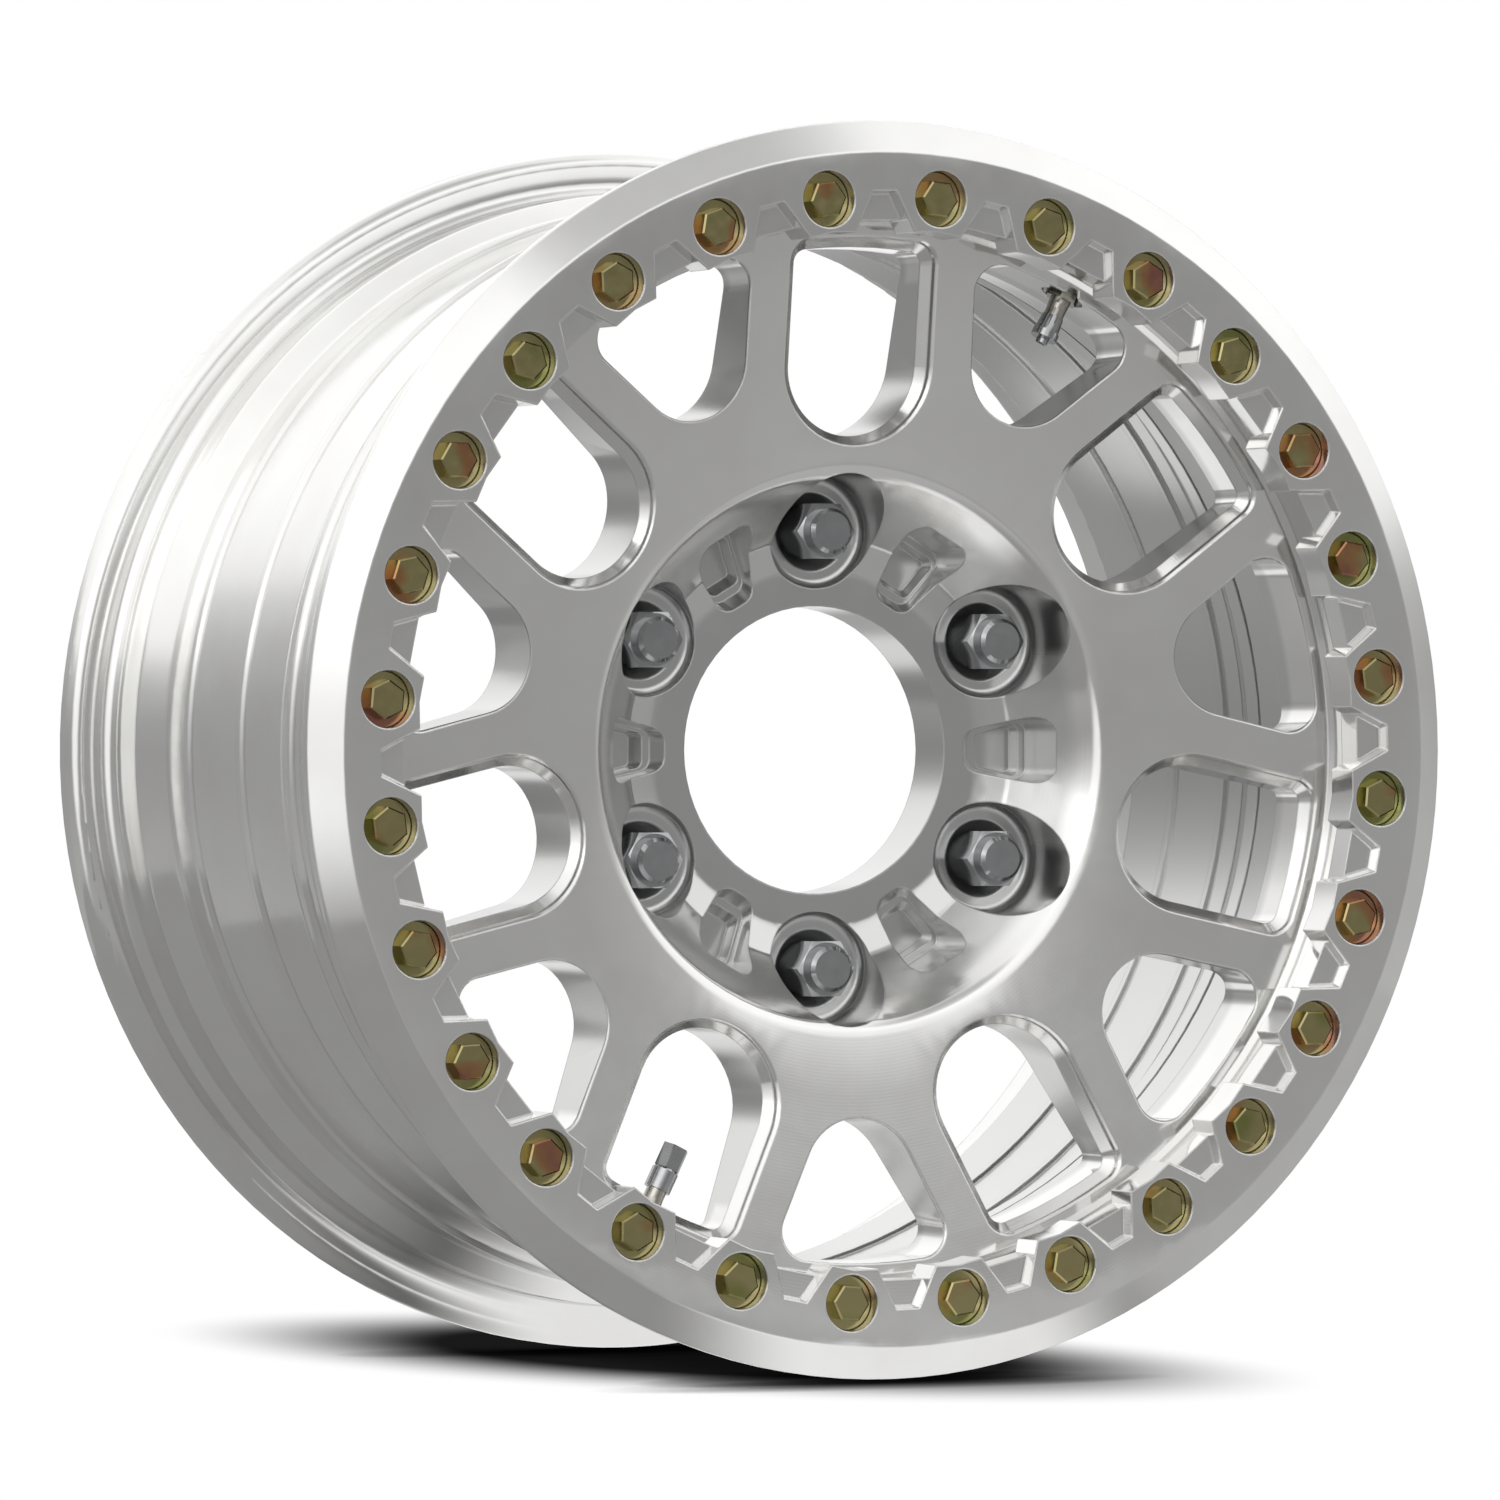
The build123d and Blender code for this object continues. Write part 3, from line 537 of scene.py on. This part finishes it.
def smoothTwin(node, narrow, s):
    mesh = frame["nodes"][node].data.copy()
    mesh.name = node + "_polished"
    shadeMesh(mesh, s["weld"], s["crease"], narrow, s)
    twin = bpy.data.objects.new(node + "_polished", mesh)
    scene.collection.objects.link(twin)
    mesh.materials.clear()
    mesh.materials.append(finishOf(node))
    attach(twin, bodyOfNode[node])
    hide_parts(node)


for node, narrow in twinShading["wide"].items():
    smoothTwin(node, narrow, twinShading)
for node in twinShading["small"]:
    smoothTwin(node, twinShading["fine"], twinShading)
print("polished faces shaded")


# the 28 bolts that clamp the ring, with their washers: one of each is turned or cut, then repeated round the wheel
boltCircle = {"count": 28, "circle": 206.0, "firstAngle": 90 + 1.31 + 180 / 28, "crease": 30.0}
ringBolts = {
    **boltCircle, "looseTurn": 0.0, "seed": 7,
    "headTop": -94.9, "headHeight": 5.4, "flats": 12.7, "chamfer": 0.6,
    "shankRadius": 3.97, "shankInHead": 1.0, "tip": -68.0, "tipTaper": 0.8, "shankSides": 20,
}
ringWashers = {
    **boltCircle, "looseTurn": 180.0, "seed": 11,
    "front": -89.5, "thickness": 1.5, "outer": 10.3, "hole": 4.1, "edge": 0.25, "sides": 56,
}


def ringOfPoints(shape, radius, y, sides, turn):
    angles = [math.radians(turn) + math.tau * k / sides for k in range(sides)]
    return [shape.verts.new((radius * math.cos(a) * millimetre, y * millimetre, radius * math.sin(a) * millimetre))
            for a in angles]


def skin(shape, rings, closed):
    # quads between one ring of points and the next, then either end caps or a last band back to the first ring
    for first, second in zip(rings, rings[1:] + (rings[:1] if closed else [])):
        for k in range(len(first)):
            j = (k + 1) % len(first)
            shape.faces.new((first[k], first[j], second[j], second[k]))
    if not closed:
        shape.faces.new(rings[0])
        shape.faces.new(rings[-1])


def boltShape(b):
    shape = bmesh.new()
    # a hexagon's corners stand this much further out than its flats
    corner = 1 / math.cos(math.radians(30))
    top, under = b["headTop"], b["headTop"] + b["headHeight"]
    head = ((b["flats"] / 2 - b["chamfer"], top), (b["flats"] / 2, top + b["chamfer"]), (b["flats"] / 2, under))
    skin(shape, [ringOfPoints(shape, r * corner, y, 6, 30) for r, y in head], False)
    shank = ((b["shankRadius"], under - b["shankInHead"]), (b["shankRadius"], b["tip"] - b["tipTaper"]),
             (b["shankRadius"] - b["tipTaper"], b["tip"]))
    skin(shape, [ringOfPoints(shape, r, y, b["shankSides"], 0) for r, y in shank], False)
    return shape


def washerShape(w):
    shape = bmesh.new()
    front, back, e = w["front"], w["front"] + w["thickness"], w["edge"]
    outline = ((w["hole"] + e, front), (w["outer"] - e, front), (w["outer"], front + e), (w["outer"], back - e),
               (w["outer"] - e, back), (w["hole"], back), (w["hole"], front + e))
    skin(shape, [ringOfPoints(shape, r, y, w["sides"], 0) for r, y in outline], True)
    return shape


def circleOfPieces():
    # a tree that repeats one piece round the wheel's axis, each copy turned on its own axis as it was screwed in
    tree = bpy.data.node_groups.new("circleOfPieces", "GeometryNodeTree")
    for label, kind in (("Piece", "Object"), ("Count", "Int"), ("Circle Radius", "Float"), ("First Angle", "Float"),
                        ("Loose Turn", "Float"), ("Seed", "Int"), ("Finish", "Material")):
        tree.interface.new_socket(name=label, in_out="INPUT", socket_type="NodeSocket" + kind)
    tree.interface.new_socket(name="Geometry", in_out="OUTPUT", socket_type="NodeSocketGeometry")
    given = addNode(tree, "NodeGroupInput").outputs
    step = addNode(tree, "ShaderNodeMath", {"operation": "DIVIDE"}, {0: math.tau, 1: given["Count"]}).outputs[0]
    place = addNode(tree, "GeometryNodeInputIndex").outputs[0]
    angle = addNode(tree, "ShaderNodeMath", {"operation": "MULTIPLY_ADD"},
                    {0: place, 1: step, 2: given["First Angle"]}).outputs[0]
    reach = {}
    for axis, operation in (("X", "COSINE"), ("Z", "SINE")):
        part = addNode(tree, "ShaderNodeMath", {"operation": operation}, {0: angle}).outputs[0]
        reach[axis] = addNode(tree, "ShaderNodeMath", {"operation": "MULTIPLY"},
                              {0: part, 1: given["Circle Radius"]}).outputs[0]
    spot = addNode(tree, "ShaderNodeCombineXYZ", None, reach).outputs[0]
    points = addNode(tree, "GeometryNodePoints", None, {"Count": given["Count"], "Position": spot}).outputs[0]
    least = addNode(tree, "ShaderNodeMath", {"operation": "MULTIPLY"}, {0: given["Loose Turn"], 1: -1.0}).outputs[0]
    loose = addNode(tree, "FunctionNodeRandomValue", {"data_type": "FLOAT"},
                    {2: least, 3: given["Loose Turn"], "Seed": given["Seed"]}).outputs[1]
    turn = addNode(tree, "ShaderNodeMath", {"operation": "SUBTRACT"}, {0: loose, 1: angle}).outputs[0]
    turned = addNode(tree, "ShaderNodeCombineXYZ", None, {"Y": turn}).outputs[0]
    piece = addNode(tree, "GeometryNodeObjectInfo", {"transform_space": "ORIGINAL"}, {"Object": given["Piece"]})
    copies = addNode(tree, "GeometryNodeInstanceOnPoints", None,
                     {"Points": points, "Instance": piece.outputs["Geometry"], "Rotation": turned}).outputs[0]
    real = addNode(tree, "GeometryNodeRealizeInstances", None, {"Geometry": copies}).outputs[0]
    dressed = addNode(tree, "GeometryNodeSetMaterial", None, {"Geometry": real, "Material": given["Finish"]})
    addNode(tree, "NodeGroupOutput", None, {"Geometry": dressed.outputs[0]})
    return tree


def repeatRound(tree, shape, node, values):
    # the tree runs on a stand-in object, and its result is kept as one plain mesh
    bmesh.ops.recalc_face_normals(shape, faces=shape.faces)
    single = bpy.data.objects.new(node + "_single", bpy.data.meshes.new(node + "_single"))
    shape.to_mesh(single.data)
    shape.free()
    host = bpy.data.objects.new(node + "_circle", bpy.data.meshes.new(node + "_circle"))
    for thing in (single, host):
        scene.collection.objects.link(thing)
    modifier = host.modifiers.new("circleOfPieces", "NODES")
    modifier.node_group = tree
    inputs = {"Piece": single, "Count": values["count"], "Circle Radius": values["circle"] * millimetre,
              "First Angle": math.radians(values["firstAngle"]), "Loose Turn": math.radians(values["looseTurn"]),
              "Seed": values["seed"], "Finish": finishOf(node)}
    for socket in tree.interface.items_tree:
        if socket.in_out == "INPUT":
            modifier[socket.identifier] = inputs[socket.name]
    view = bpy.context.evaluated_depsgraph_get()
    mesh = bpy.data.meshes.new_from_object(host.evaluated_get(view), preserve_all_data_layers=True, depsgraph=view)
    host.modifiers.clear()
    host.data = mesh
    bpy.data.objects.remove(single)
    shadeMesh(mesh, 0.0, values["crease"], 0.0, twinShading)
    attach(host, bodyOfNode[node])
    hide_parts(node)


circleTree = circleOfPieces()
repeatRound(circleTree, boltShape(ringBolts), "ring_bolts", ringBolts)
repeatRound(circleTree, washerShape(ringWashers), "ring_washers", ringWashers)
print("ring bolts and washers repeated:", ringBolts["count"])

for node, thing in frame["nodes"].items():
    thing.data.materials.clear()
    thing.data.materials.append(finishOf(node))
print("finishes applied")

scene.view_settings.view_transform = "Standard"
